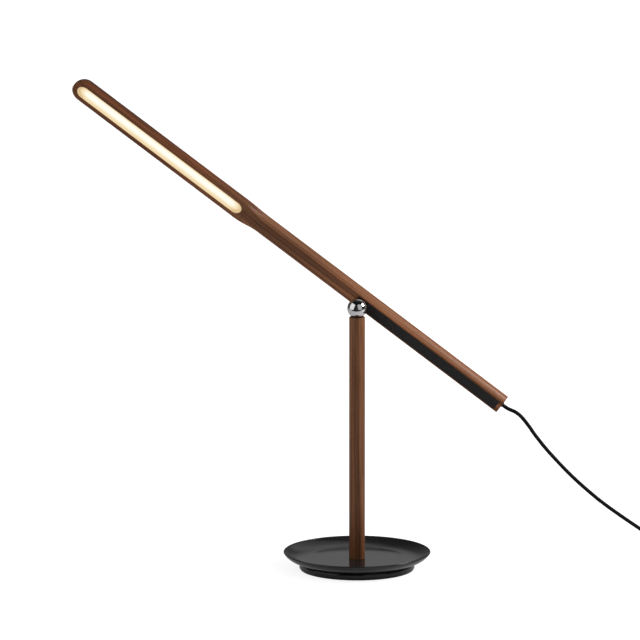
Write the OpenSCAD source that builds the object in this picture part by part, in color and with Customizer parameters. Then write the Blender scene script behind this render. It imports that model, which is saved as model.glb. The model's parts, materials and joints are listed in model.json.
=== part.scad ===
// Desk lamp: a slim wooden light arm held on a steel ball at the top of a wooden pole.
// Millimetres, +Z up, origin on the table under the pole, arm in the XZ plane with its cord end at +X.

/* [Base] */
// Outer diameter of the dish at its rim
dish_d = 178; // [150:1:220]
// Height of the rim above the table
dish_h = 21.3; // [17:0.1:26]
// Height of the dish floor above the table
dish_floor_h = 12.5; // [11:0.1:14]
// Diameter of the flat part of the dish floor
dish_floor_d = 118; // [80:1:130]
// Thickness of the dish floor
dish_floor_t = 2; // [1.2:0.1:2.5]
// Width of the rounded rim edge
dish_rim_t = 1.8; // [1.2:0.1:3]
// Outer diameter of the skirt under the dish
dish_skirt_d = 141; // [134:0.5:146]
// Radial thickness of the skirt
dish_skirt_t = 6.5; // [3:0.1:10]
// Outer diameter of the foot plate
foot_d = 139.5; // [128:0.5:145]
// Height of the foot plate's visible side above the table
foot_h = 7.5; // [6:0.1:8.5]
// Height of the dark line between foot plate and skirt
shadow_gap = 0.8; // [0.5:0.1:1.5]
// Depth of the dark line
shadow_depth = 2.5; // [1:0.1:4]
// Thickness of the felt pad
pad_t = 1.2; // [0.8:0.1:2]
// Width of the foot plate's edge that the felt leaves bare
pad_edge = 1.2; // [1:0.1:5]
// Diameter of the bolt that clamps the base to the pole
bolt_d = 8; // [6:0.5:9]
// Length of the bolt under its head
bolt_len = 28; // [20:1:40]
// Width across the corners of the bolt head
bolt_head_w = 14; // [12:0.5:17]
// Height of the bolt head
bolt_head_h = 2.2; // [1.5:0.1:2.3]
// Diameter of the washer
washer_d = 22; // [18:1:28]
// Thickness of the washer
washer_t = 1; // [0.8:0.1:1.2]

/* [Pole] */
// Diameter of the pole
pole_d = 19.2; // [17:0.1:24]
// Bevel round the pole's ends
pole_bevel = 0.7; // [0.3:0.1:1.5]
// Outer diameter of the threaded insert in the pole's foot
insert_d = 12; // [10.5:0.1:14]
// Length of the threaded insert
insert_len = 24; // [18:1:40]

/* [Ball joint] */
// Height of the ball's centre above the table
ball_z = 321; // [260:1:420]
// Diameter of the ball
ball_d = 24; // [22:0.1:28]
// Distance from the ball's centre down to the pole's top
ball_rise = 10.7; // [10.2:0.1:11]
// Diameter of the turning cup under the ball
cup_d = 12; // [9:0.1:12.6]
// Height of the cup under the ball
cup_h = 13; // [10:0.5:20]
// Diameter of the bush that the cup turns in and whose collar stands out of the pole
bush_d = 15.2; // [14.6:0.1:15.6]
// Thickness of the bush floor
bush_floor_t = 2; // [1:0.1:4]
// Diameter of the magnet in the cup
cup_magnet_d = 9; // [5:0.1:9.4]
// Height of the magnet in the cup
cup_magnet_h = 6; // [3:0.5:9]
// Diameter of the magnet in the arm
arm_magnet_d = 13; // [10:0.1:14]
// Height of the magnet in the arm
arm_magnet_h = 5; // [3:0.1:5.4]
// How far the ball's seat is sunk into the arm's black strip
seat_depth = 0.8; // [0.4:0.1:1.2]

/* [Arm] */
// Length of the arm from the ball to the tip
arm_front = 435; // [360:1:520]
// Length of the arm from the ball to the cord end
arm_back = 210.2; // [185:0.1:260]
// Diameter of the round arm
arm_d = 23.7; // [23:0.1:28]
// Distance from the arm's axis to the flat along its underside
arm_flat = 7.5; // [7:0.1:8.5]
// Width of the light head's face
head_w = 30; // [27:0.1:34]
// Distance from the arm's axis to the head's lit side
head_flat = 6.4; // [6:0.1:7]
// Distance from the arm's axis down to the middle of the head's round back
head_drop = 3.2; // [2:0.1:4]
// Distance from the ball to the end of the head's full width
head_end = 183; // [160:1:230]
// Length over which the head narrows to the round arm
neck_len = 31; // [20:1:50]
// Upward tilt of the arm in degrees
arm_tilt = 36.5; // [0:0.5:60]
// Roll of the arm in degrees, 0 with the light facing straight down
arm_roll = 60; // [0:0.5:85]

/* [Light] */
// Length of the lit window
window_len = 246; // [200:0.1:260]
// Width of the lit window
window_w = 17.8; // [14:0.1:20]
// Wood left in front of the lit window at the tip
window_tip = 6.7; // [5:0.1:16]
// How far the diffuser's rim lies below the wood
diffuser_sunk = 0.3; // [0.2:0.1:1.5]
// Width of the diffuser's rim
diffuser_rim = 1.2; // [0.8:0.1:2]
// How far the lit face lies below the diffuser's rim
diffuser_depth = 2.2; // [1:0.1:3]
// Thickness of the lit face
diffuser_t = 1.5; // [1:0.1:2]
// Height of the aluminium channel behind the diffuser
channel_h = 5; // [4.8:0.1:6]
// Wall of the aluminium channel
channel_wall = 1.4; // [0.8:0.1:2]
// Width of the light board
board_w = 11; // [8:0.1:12]
// Thickness of the light board
board_t = 1.2; // [0.8:0.1:1.6]
// Distance between light chips
chip_pitch = 8; // [6:0.5:16]
// Length of a light chip
chip_len = 3.5; // [2:0.1:5]
// Width of a light chip
chip_w = 2.8; // [1.5:0.1:5]
// Height of a light chip
chip_h = 0.6; // [0.4:0.1:1]
// Diameter of the drilled wire way
wire_way_d = 4.6; // [4.2:0.1:5]
// Diameter of a light wire
wire_d = 1.2; // [0.8:0.1:1.4]
// Distance between the two light wires
wire_gap = 2.2; // [1.8:0.1:2.4]

/* [Rear housing] */
// Thickness of the black strip
strip_t = 2; // [1.6:0.1:2.4]
// Width of the black strip
strip_w = 15; // [14.6:0.1:15.4]
// Distance from the ball to the strip's front end
strip_front = 7.5; // [7:0.5:12]
// Wood left behind the strip at the cord end
strip_back_gap = 5; // [3:0.5:8]
// Diameter of a strip screw's head
screw_head_d = 3.8; // [3:0.1:4.2]
// Diameter of a strip screw
screw_d = 2; // [1.6:0.1:2.4]
// Length of a strip screw
screw_len = 9; // [6:0.5:12]
// Distance of the screws from the strip's middle line
screw_side = 5.1; // [4.8:0.1:5.2]
// Width of the long housing slot
housing_w = 13; // [12:0.1:13.6]
// Depth of the housing slot above the strip
housing_depth = 11; // [10.4:0.1:11.6]
// Wood between the ball's centre and the housing slot
housing_start = 24; // [20:0.5:28]
// Wood between the housing slot and the cord end
housing_back_gap = 13; // [11:0.5:18]
// Width of the wire slot over the magnet
well_w = 5; // [4.4:0.1:6]
// Length of the driver board
driver_len = 80; // [76:1:84]
// Width of the driver board
driver_w = 12; // [10:0.1:12.4]
// Thickness of the driver board
driver_t = 1.2; // [0.8:0.1:1.6]
// Thickness of the insulating sheet under the driver board
sheet_t = 0.5; // [0.3:0.1:0.8]
// Length of the balance weight
weight_len = 70; // [50:1:76]
// Width of the lead slot in the balance weight
lead_slot_w = 5.3; // [5:0.1:5.8]

/* [Button] */
// Distance from the ball to the button
button_x = 76; // [72:0.5:78]
// Diameter of the button
button_d = 8; // [6:0.1:9]
// Height of the button above the wood
button_proud = 0.6; // [0.2:0.1:1.5]
// Travel of the button
button_travel = 0.8; // [0.5:0.1:1]
// Diameter of the button's inner flange
flange_d = 10.8; // [10:0.1:11.4]
// Thickness of the button's inner flange
flange_t = 1.2; // [0.8:0.1:1.4]
// Width of the switch under the button
switch_w = 9; // [8.6:0.1:10]
// Height of the switch body
switch_h = 3.4; // [3:0.1:3.8]
// Diameter of the switch plunger
plunger_d = 3.4; // [2.6:0.1:3.6]
// Height of the switch plunger
plunger_h = 1; // [0.6:0.1:1.2]
// Mean diameter of the button's spring
spring_d = 6.6; // [6:0.1:7]
// Wire diameter of the button's spring
spring_wire = 0.6; // [0.5:0.05:0.65]
// Turns of the button's spring
spring_turns = 3; // [2:1:3]

/* [Cord] */
// Diameter of the cord
cord_d = 4.7; // [4.3:0.1:4.7]
// Length of the gland's collar at the arm's end
collar_len = 1; // [0.6:0.1:1.1]
// Diameter of the collar where it meets the arm
collar_d = 6.4; // [6.1:0.1:6.7]
// Diameter of the collar at its free end
collar_end_d = 5.8; // [5.5:0.1:6]
// Diameter of the gland inside the wood
gland_d = 7; // [6.8:0.1:7.2]
// Distance between neighbouring turns of the coil
coil_pitch = 5.4; // [5.3:0.05:5.8]
// Layers of the coil
coil_layers = 4; // [2:2:4]
// Width of the tie round the coil
tie_w = 6; // [4:0.5:6]
// Thickness of the tie
tie_t = 0.6; // [0.3:0.05:0.65]
// Length of the plug body
plug_len = 36; // [28:1:44]
// Width of the plug body
plug_w = 28; // [24:1:32]
// Corner radius of the plug body
plug_round = 5; // [2:0.5:8]
// Length of the plug's tapered relief
relief_len = 16; // [12:1:24]
// Diameter of the relief at the plug
relief_d = 8; // [6:0.1:10]
// Length of a plug blade
blade_len = 17; // [15:0.5:18]
// Width of a plug blade
blade_w = 6.3; // [6:0.1:7]
// Thickness of a plug blade
blade_t = 1.5; // [1.3:0.1:1.7]
// Distance between the plug blades
blade_pitch = 12.7; // [12:0.1:13]

/* [Fits] */
// Clearance of a bolt, screw or wire in its hole, on each side
hole_clear = 0.3; // [0.1:0.05:0.4]
// Clearance of a fixed piece in its pocket, on each side
seat_clear = 0.1; // [0.05:0.05:0.15]
// Clearance of a turning piece in its bore, on each side
turn_clear = 0.05; // [0.02:0.01:0.1]
// Gap between the ball and its seats
ball_clear = 0.2; // [0.15:0.05:0.4]
// Gap between the button and its guide
button_clear = 0.2; // [0.1:0.05:0.3]

/* [Hidden] */
$fn = 64;
// Extra length of a cut past the face that it opens
over = 1;

// Base heights and radii
dish_r = dish_d / 2;
skirt_r = dish_skirt_d / 2;
skirt_in_r = skirt_r - dish_skirt_t;
skirt_z = foot_h + shadow_gap;
floor_r = dish_floor_d / 2;
floor_under_z = dish_floor_h - dish_floor_t;
bolt_hole_r = bolt_d / 2 + hole_clear;
recess_r = washer_d / 2 + hole_clear;
washer_z = pad_t + hole_clear + bolt_head_h;
recess_top_z = washer_z + washer_t;
rim_in_r = dish_r - dish_rim_t;
// Radius of the arc that lifts the dish floor to the rim
bowl_rise = dish_h - dish_floor_h;
bowl_run = rim_in_r - floor_r;
bowl_r = (bowl_run * bowl_run + bowl_rise * bowl_rise) / (2 * bowl_rise);
bowl_sweep = asin(bowl_run / bowl_r);
// Outer wall of the dish: from the skirt, out under the rim, up to the rim
wall_foot = [skirt_r, skirt_z];
wall_bulge = [dish_r - 5, skirt_z + 4];
wall_top = [dish_r, dish_h - dish_rim_t / 2];
curve_steps = 12;

// Ball joint
ball_r = ball_d / 2;
seat_r = ball_r + ball_clear;
pole_r = pole_d / 2;
pole_top_z = ball_z - ball_rise;
cup_r = cup_d / 2;
cup_low_z = ball_z - seat_r - cup_h;
bush_r = bush_d / 2;
bush_low_z = cup_low_z - bush_floor_t;
// Height past which the ball leaves nothing of the cup and the bush
joint_top_z = ball_z - ball_r / 2;

// Arm, in a frame with its origin at the ball's centre, X along the arm, Z away from the light
arm_r = arm_d / 2;
face_z = ball_r - seat_depth;
axis_z = face_z + arm_flat;
head_face_z = axis_z - head_flat;
head_r = head_w / 2;
// The straight sides stand a little inside the round back, so that the two cross
head_side = head_r - 0.1;
tip_x = -arm_front + head_r;
neck_start = -head_end;
neck_end = -head_end + neck_len;
neck_sink = 0.05;
neck_lap = 0.5;
neck_rings = 12;
neck_sides = 40;
flat_angle = asin(arm_flat / arm_r);

// Light
window_x = -arm_front + window_tip + window_len / 2;
diffuser_z = head_face_z + diffuser_sunk;
lit_z = diffuser_z + diffuser_depth;
channel_z = lit_z + diffuser_t;
channel_top = channel_z + channel_h;
board_top = channel_top - channel_wall;
board_z = board_top - board_t;
board_len = window_len - 2 * channel_wall - board_w;
chip_z = board_z - chip_h;
chip_count = floor((board_len - 12) / chip_pitch);
light_back = window_x + window_len / 2;
wire_r = wire_d / 2;

// Rear housing
strip_z = face_z;
strip_top = strip_z + strip_t;
strip_end = arm_back - strip_back_gap;
housing_end = arm_back - housing_back_gap;
housing_top = strip_top + housing_depth;
magnet_r = arm_magnet_d / 2;
well_top = strip_top + 9.4;
well_z = strip_top + arm_magnet_h - over;
well_front = -14;
well_back = housing_start + 4;
wire_low_z = board_z - wire_r - seat_clear;
wire_high_z = well_top - wire_r - 1;
way_start = [light_back - 4, 0, wire_low_z];
way_end = [well_front + 1, 0, wire_high_z];
screw_front_x = (magnet_r + housing_start) / 2;
screw_back_x = (housing_end + strip_end) / 2;
driver_x = housing_start + 4;
driver_z = strip_top + sheet_t;
driver_top = driver_z + driver_t;
weight_end = housing_end - 3;
weight_start = weight_end - weight_len;
weight_w = housing_w - 4 * seat_clear;
lead_slot_z = axis_z - lead_slot_w / 2;

// Button
button_r = button_d / 2;
button_top = axis_z + arm_r + button_proud;
flange_top = housing_top - seat_clear;
flange_z = flange_top - flange_t;
switch_top = driver_top + switch_h;
plunger_top = switch_top + plunger_h;
spring_low = switch_top + spring_wire / 2 + 0.05;
spring_high = flange_z - spring_wire / 2 - 0.05;

// Driver parts: [distance along the board, length, width, height]
coil_part = [22, 4, 5];
can_part = [34, 3, 7];
chip_part = [62, 8, 6, 1.6];
output_part = [6, 5, 8, 4];
input_part = [72, 5, 8, 4];

// Cord
cord_r = cord_d / 2;
cord_sides = 8;
cord_steps = 2;
gland_r = gland_d / 2;
gland_in_x = housing_end + 1;
gland_out_x = arm_back + collar_len;
cord_route = [[175.4, 16.2, 202.8], [177.3, 16.2, 201.4], [180.1, 16.2, 199.5], [183.2, 16.1, 197.9],
  [186.6, 16.1, 196.5], [189.9, 16.1, 195.1], [193.3, 16, 193], [196.7, 16, 190.2], [200.4, 15.9, 186.3],
  [204.5, 15.8, 181.2], [209.4, 15.7, 174.6], [214, 15.5, 168], [227, 14.5, 152],
  [240.5, 13.5, 137.5], [254, 12, 124], [267.5, 10.5, 111.7],
  [281, 9, 100.5], [294, 8, 90.2], [307.5, 7, 80.6], [321, 6, 71.6], [334, 5, 63.2],
  [347, 4, 55], [362, 3, 45.5], [379, 2, 35], [396, 1, 24.8], [413, 0.5, 15.8],
  [429, 0, 8.9], [443, 0, 4.7], [452, 0, 3.3], [456, 0, 3.1]];
coil_at = [460, 28];
coil_r = 28;
coil_z = 3.1;
coil_turns = 11.5;
coil_rings = 24;
coil_sides = 6;
coil_tail = [[456, 56, 19.3], [452, 56, 18.8], [447, 56, 16.8], [442.5, 56, 15], [436, 56, 15]];
layer_turns = coil_turns / coil_layers;
coil_in_r = coil_r - coil_pitch * layer_turns;
plug_h = 2 * (coil_tail[4][2] - 0.05);
plug_at = [coil_tail[4][0] - relief_len, coil_tail[4][1], coil_tail[4][2]];

// Curves and tubes
function unit(v) = v / norm(v);
function mix(a, b, t) = a + (b - a) * t;
function smooth(t) = let (c = max(0, min(1, t))) c * c * (3 - 2 * c);
function bend(a, b, c, t) = mix(mix(a, b, t), mix(b, c, t), t);
function heading(path, i) = unit(path[min(i + 1, len(path) - 1)] - path[max(i - 1, 0)]);
function knot(p, i) = p[max(0, min(len(p) - 1, i))];
function through(a, b, c, d, t) =
  b + 0.5 * t * (c - a + t * (2 * a - 5 * b + 4 * c - d + t * (3 * (b - c) + d - a)));
function smooth_path(p, steps) = [
  for (i = [0 : len(p) - 2], k = [0 : steps - 1])
    through(knot(p, i - 1), p[i], p[i + 1], knot(p, i + 2), k / steps),
  p[len(p) - 1]
];

// One closed tube along a path, with up never in line with the path
module tube(path, r, sides, up) {
  count = len(path);
  points = [
    for (i = [0 : count - 1])
      let (t = heading(path, i), a = unit(cross(up, t)), b = cross(t, a))
      for (k = [0 : sides - 1])
        path[i] + r * (cos(360 * k / sides) * a + sin(360 * k / sides) * b)
  ];
  walls = [
    for (i = [0 : count - 2], k = [0 : sides - 1])
      let (p = i * sides + k, q = i * sides + (k + 1) % sides)
      each [[p, p + sides, q], [q, p + sides, q + sides]]
  ];
  last = (count - 1) * sides;
  ends = [for (k = [1 : sides - 2]) each [[0, k, k + 1], [last, last + k + 1, last + k]]];
  polyhedron(points, concat(walls, ends));
}

// Long slot outline with round ends, along X
function slot_outline(length, width) = [
  for (side = [0, 1], k = [0 : 2 * curve_steps])
    let (turn = -90 + 180 * side + 180 * k / (2 * curve_steps))
    [(side == 0 ? 1 : -1) * (length - width) / 2, 0] + width / 2 * [cos(turn), sin(turn)]
];

// Rectangle outline with round corners
function round_outline(width, height, r) = [
  for (corner = [0 : 3], k = [0 : curve_steps / 2])
    let (turn = 90 * corner + 180 * k / curve_steps, sx = corner == 0 || corner == 3 ? 1 : -1,
      sy = corner < 2 ? 1 : -1)
    [sx * (width / 2 - r), sy * (height / 2 - r)] + r * [cos(turn), sin(turn)]
];

// Places what is drawn in the arm's frame on the ball
module on_ball() {
  translate([0, 0, ball_z]) rotate([-arm_roll, arm_tilt, 0]) children();
}

// Draws a YZ outline along X
module along_x(x, length) {
  translate([x, 0, 0]) rotate([90, 0, 90]) linear_extrude(length) children();
}

// Upright cylinder from one height to another
module post(r, low, high) {
  translate([0, 0, low]) cylinder(r = r, h = high - low);
}

// Base
module base_dish() {
  outer = [for (k = [0 : curve_steps]) bend(wall_foot, wall_bulge, wall_top, k / curve_steps)];
  rim_r = dish_rim_t / 2;
  rim = [for (k = [1 : curve_steps - 1]) let (turn = 180 * k / curve_steps)
    [dish_r - rim_r, dish_h - rim_r] + rim_r * [cos(turn), sin(turn)]];
  bowl = [for (k = [0 : curve_steps]) let (turn = bowl_sweep * (1 - k / curve_steps))
    [floor_r + bowl_r * sin(turn), dish_floor_h + bowl_r * (1 - cos(turn)) - rim_r * (1 - k / curve_steps)]];
  under = [[bolt_hole_r, dish_floor_h], [bolt_hole_r, floor_under_z], [skirt_in_r, floor_under_z],
    [skirt_in_r, skirt_z]];
  color("#26262a") rotate_extrude() polygon(concat(outer, rim, bowl, under));
}

module base_weight() {
  color("#4a4a4d") difference() {
    post(skirt_in_r - seat_clear, skirt_z, floor_under_z);
    post(bolt_hole_r, skirt_z - over, floor_under_z + over);
  }
}

module base_foot() {
  color("#222226") difference() {
    union() {
      post(foot_d / 2, pad_t, foot_h);
      post(foot_d / 2 - shadow_depth, foot_h - over, skirt_z);
    }
    post(recess_r, pad_t - over, recess_top_z);
    post(bolt_hole_r, recess_top_z - over, skirt_z + over);
  }
}

module base_pad() {
  color("#1a1a1a") post(foot_d / 2 - pad_edge, 0, pad_t);
}

module base_bolt() {
  color("silver") {
    translate([0, 0, washer_z - bolt_head_h]) cylinder(d = bolt_head_w, h = bolt_head_h, $fn = 6);
    post(bolt_d / 2, washer_z - bolt_head_h / 2, washer_z + bolt_len);
  }
}

module base_washer() {
  color("silver") difference() {
    post(washer_d / 2, washer_z, recess_top_z);
    post(bolt_hole_r, washer_z - over, recess_top_z + over);
  }
}

// Pole
module pole() {
  color("#6b4229") difference() {
    rotate_extrude() polygon([[0, dish_floor_h], [pole_r - pole_bevel, dish_floor_h],
      [pole_r, dish_floor_h + pole_bevel], [pole_r, pole_top_z - pole_bevel],
      [pole_r - pole_bevel, pole_top_z], [0, pole_top_z]]);
    post(insert_d / 2 + turn_clear, dish_floor_h - over, dish_floor_h + insert_len);
    post(bolt_hole_r, dish_floor_h, washer_z + bolt_len + over);
    post(bush_r + turn_clear, bush_low_z, pole_top_z + over);
  }
}

module pole_insert() {
  color("#c9a24a") difference() {
    post(insert_d / 2, dish_floor_h, dish_floor_h + insert_len);
    post(bolt_d / 2 + turn_clear, dish_floor_h - over, dish_floor_h + insert_len + over);
  }
}

// Ball joint
module swivel_bush() {
  color("#2a2a2d") difference() {
    post(bush_r, bush_low_z, joint_top_z);
    post(cup_r + turn_clear, cup_low_z, joint_top_z + over);
    translate([0, 0, ball_z]) sphere(seat_r + seat_clear);
  }
}

module swivel_cup() {
  color("#303034") difference() {
    post(cup_r, cup_low_z, joint_top_z);
    translate([0, 0, ball_z]) sphere(seat_r);
    post(cup_magnet_d / 2 + turn_clear, cup_low_z - over, cup_low_z + cup_magnet_h);
  }
}

module cup_magnet() {
  color("#9a9a9e") post(cup_magnet_d / 2, cup_low_z, cup_low_z + cup_magnet_h);
}

module ball() {
  color("#d8d8dc") translate([0, 0, ball_z]) sphere(ball_r);
}

// Arm outlines, Y across and Z up
module arm_outline(r) {
  translate([0, axis_z]) difference() {
    circle(r);
    translate([-arm_d, -arm_flat - arm_d]) square([2 * arm_d, arm_d]);
  }
}

module head_outline() {
  translate([0, axis_z]) union() {
    difference() {
      translate([0, -head_drop]) circle(head_r);
      translate([-head_w, -head_flat - head_w]) square([2 * head_w, head_w]);
    }
    translate([-head_side, -head_flat]) square([2 * head_side, head_flat - head_drop]);
  }
}

// One ring of the neck: 0 is the round arm, 1 is the head, both drawn in a little
function neck_point(x, share, k) =
  let (q = k / neck_sides, side = 0.12,
    turn = -flat_angle + (180 + 2 * flat_angle) * q,
    arc = 180 * (q - side) / (1 - 2 * side),
    slope = head_flat - head_drop,
    round_y = (arm_r - neck_sink) * cos(turn),
    round_z = (arm_r - neck_sink) * sin(turn),
    head_y = q < side ? head_side : q > 1 - side ? -head_side : head_r * cos(arc),
    head_z = q < side ? -head_flat + slope * q / side
      : q > 1 - side ? -head_flat + slope * (1 - q) / side : -head_drop + head_r * sin(arc))
  [x, mix(round_y, head_y * (1 - neck_sink / head_r), share),
    axis_z + mix(max(round_z, neck_sink - arm_flat), max(head_z - neck_sink, neck_sink - head_flat), share)];

module neck() {
  sides = neck_sides + 1;
  span = neck_end - neck_start + 2 * neck_lap;
  points = [
    for (i = [0 : neck_rings])
      let (x = neck_start - neck_lap + span * i / neck_rings,
        share = 1 - smooth((x - neck_start) / neck_len))
      for (k = [0 : neck_sides]) neck_point(x, share, k)
  ];
  walls = [
    for (i = [0 : neck_rings - 1], k = [0 : neck_sides])
      let (p = i * sides + k, q = i * sides + (k + 1) % sides)
      each [[p, p + sides, q], [q, p + sides, q + sides]]
  ];
  last = neck_rings * sides;
  middles = [[points[0][0], 0, axis_z], [points[last][0], 0, axis_z]];
  ends = [
    for (k = [0 : neck_sides])
      let (q = (k + 1) % sides)
      each [[last + sides, k, q], [last + sides + 1, last + q, last + k]]
  ];
  polyhedron(concat(points, middles), concat(walls, ends));
}

module arm_solid() {
  translate([tip_x, 0, 0]) rotate([0, 0, 90]) rotate_extrude(angle = 180) intersection() {
    head_outline();
    square([head_w, axis_z + arm_d]);
  }
  along_x(tip_x, neck_start - tip_x) head_outline();
  neck();
  along_x(neck_end, arm_back - neck_end) arm_outline(arm_r);
}

module wire_way() {
  reach = way_end - way_start;
  translate(way_start) rotate([0, 90 - atan2(reach[2], reach[0]), 0])
    cylinder(d = wire_way_d, h = norm(reach));
}

module screw_places() {
  for (x = [screw_front_x, screw_back_x], side = [-1, 1])
    translate([x, side * screw_side, strip_z]) children();
}

module arm() {
  color("#7a4a2c") on_ball() difference() {
    arm_solid();
    // Window pocket
    translate([window_x, 0, face_z - over])
      linear_extrude(channel_top - face_z + over) polygon(slot_outline(window_len, window_w));
    wire_way();
    // Groove for the strip
    translate([-strip_front, -strip_w / 2 - hole_clear, strip_z - over])
      cube([strip_end + strip_front, strip_w + 2 * hole_clear, strip_t + over]);
    // Magnet pocket and the wire slot over it
    post(magnet_r + seat_clear, strip_top - over, strip_top + arm_magnet_h);
    translate([well_front, -well_w / 2, well_z]) cube([well_back - well_front, well_w, well_top - well_z]);
    // Housing slot
    translate([housing_start, -housing_w / 2, strip_top - over])
      cube([housing_end - housing_start, housing_w, housing_depth + over]);
    screw_places() cylinder(d = screw_d + 2 * seat_clear, h = screw_len + over);
    translate([button_x, 0, 0]) post(button_r + button_clear, housing_top - over, axis_z + arm_d);
    translate([housing_end - over, 0, axis_z]) rotate([0, 90, 0])
      cylinder(r = gland_r + seat_clear, h = housing_back_gap + 2 * over);
  }
}

module rear_strip() {
  color("#1c1c1f") on_ball() difference() {
    translate([-strip_front + seat_clear, -strip_w / 2, strip_z])
      cube([strip_end + strip_front - 2 * seat_clear, strip_w, strip_t]);
    sphere(seat_r);
    screw_places() {
      translate([0, 0, -over]) cylinder(d = screw_d + 2 * seat_clear, h = strip_t + 2 * over);
      cylinder(d1 = screw_head_d + 2 * seat_clear, d2 = screw_d + 2 * seat_clear, h = strip_t * 0.6);
    }
  }
}

module strip_screws() {
  color("#202022") on_ball() screw_places() {
    cylinder(d1 = screw_head_d, d2 = screw_d, h = strip_t * 0.6);
    cylinder(d = screw_d, h = screw_len);
  }
}

module arm_magnet() {
  color("#9a9a9e") on_ball() post(magnet_r, strip_top, strip_top + arm_magnet_h);
}

// Light
module led_channel() {
  outer_len = window_len - 2 * seat_clear;
  outer_w = window_w - 2 * seat_clear;
  color("#b9bbbd") on_ball() translate([window_x, 0, 0]) difference() {
    translate([0, 0, channel_z]) linear_extrude(channel_h) polygon(slot_outline(outer_len, outer_w));
    translate([0, 0, channel_z - over]) linear_extrude(channel_h - channel_wall + over)
      polygon(slot_outline(outer_len - 2 * channel_wall, outer_w - 2 * channel_wall));
    translate([0, 0, wire_low_z]) rotate([0, 90, 0]) cylinder(d = wire_way_d, h = window_len);
  }
}

module led_board() {
  color("#e8e8e4") on_ball()
    translate([window_x - board_len / 2, -board_w / 2, board_z]) cube([board_len, board_w, board_t]);
}

module led_chips() {
  color("#f4d98a") on_ball() for (i = [0 : chip_count - 1])
    translate([window_x - 4 + (i - (chip_count - 1) / 2) * chip_pitch - chip_len / 2, -chip_w / 2, chip_z])
      cube([chip_len, chip_w, chip_h]);
}

module led_diffuser() {
  outer_len = window_len - 2 * seat_clear;
  outer_w = window_w - 2 * seat_clear;
  color("#fff3d6") on_ball() translate([window_x, 0, 0]) difference() {
    translate([0, 0, diffuser_z]) linear_extrude(channel_z - diffuser_z)
      polygon(slot_outline(outer_len, outer_w));
    translate([0, 0, diffuser_z - over]) linear_extrude(diffuser_depth + over)
      polygon(slot_outline(outer_len - 2 * diffuser_rim, outer_w - 2 * diffuser_rim));
  }
}

// A wire from the light board through the drilled way and over the magnet to the driver
module light_wire(side) {
  y = side * wire_gap / 2;
  output_x = driver_x + output_part[0] - output_part[1] / 2;
  way = [for (k = [0 : 6]) mix(way_start, way_end, k / 6) + [0, y, 0]];
  drop = [[0, y, wire_high_z + 0.2], [housing_start - 6, y, wire_high_z],
    [housing_start + 1, y, driver_top + 3.2], [output_x - 0.2, y, driver_top + 2.4]];
  start = [way_start[0] - 6, y, wire_low_z];
  on_ball() tube(smooth_path(concat([start], way, drop), 2), wire_r, cord_sides, [0, 0, 1]);
}

module led_wire_red() {
  color("#b3302a") light_wire(1);
}

module led_wire_black() {
  color("#222222") light_wire(-1);
}

// Driver
module driver_sheet() {
  color("#d8d2b8") on_ball() translate([driver_x, -driver_w / 2, strip_top])
    cube([driver_len, driver_w, sheet_t]);
}

module driver_board() {
  color("#1f5a33") on_ball() translate([driver_x, -driver_w / 2, driver_z])
    cube([driver_len, driver_w, driver_t]);
}

module driver_box(part) {
  translate([driver_x + part[0] - part[1] / 2, -part[2] / 2, driver_top]) cube([part[1], part[2], part[3]]);
}

module driver_can(part) {
  translate([driver_x + part[0], 0, 0]) post(part[1], driver_top, driver_top + part[2]);
}

module driver_parts() {
  color("#3c3c40") on_ball() {
    driver_can(coil_part);
    driver_can(can_part);
    driver_box(chip_part);
    driver_box(output_part);
    driver_box(input_part);
  }
}

module balance_weight() {
  color("#5a5a5e") on_ball() difference() {
    translate([weight_start, -weight_w / 2, strip_top])
      cube([weight_len, weight_w, housing_depth - 2 * seat_clear]);
    translate([weight_start - over, -lead_slot_w / 2, lead_slot_z])
      cube([weight_len + 2 * over, lead_slot_w, housing_depth]);
  }
}

// Button
module button_switch() {
  color("#2a2a2c") on_ball() translate([button_x, 0, 0]) {
    translate([-switch_w / 2, -switch_w / 2, driver_top]) cube([switch_w, switch_w, switch_h]);
    post(plunger_d / 2, switch_top - 0.5, plunger_top);
  }
}

module button() {
  color("#b8b8bc") on_ball() translate([button_x, 0, 0]) {
    post(button_r, flange_top - 0.5, button_top);
    post(flange_d / 2, flange_z, flange_top);
    post(plunger_d / 2, plunger_top + button_travel + seat_clear, flange_z + 0.5);
  }
}

module button_spring() {
  steps = spring_turns * 8;
  helix = [for (i = [0 : steps])
    [button_x + spring_d / 2 * cos(45 * i), spring_d / 2 * sin(45 * i),
      mix(spring_low, spring_high, i / steps)]];
  color("silver") on_ball() tube(helix, spring_wire / 2, coil_sides, [0, 0, 1]);
}

// Cord
module supply_lead() {
  input_x = driver_x + input_part[0] + input_part[1] / 2;
  low_z = driver_top + cord_r + seat_clear;
  path = [[gland_out_x, 0, axis_z], [housing_end, 0, axis_z],
    [mix(weight_start, weight_end, 0.5), 0, axis_z], [weight_start, 0, axis_z],
    [input_x + 5, 0, mix(axis_z, low_z, 0.7)], [input_x + 0.2, 0, low_z]];
  color("#161617") on_ball() tube(smooth_path(path, 3), cord_r, cord_sides, [0, 1, 0]);
}

module cord_gland() {
  bore_r = cord_r + seat_clear;
  plug_part = arm_back - gland_in_x;
  color("#1d1d1f") on_ball() translate([gland_in_x, 0, axis_z]) rotate([0, 90, 0]) rotate_extrude()
    polygon([[bore_r, 0], [gland_r, 0], [gland_r, plug_part], [collar_d / 2, plug_part],
      [collar_end_d / 2, plug_part + collar_len], [bore_r, plug_part + collar_len]]);
}

module cord_run() {
  color("#161617") tube(smooth_path(cord_route, cord_steps), cord_r, cord_sides, [0, 1, 0]);
}

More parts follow.
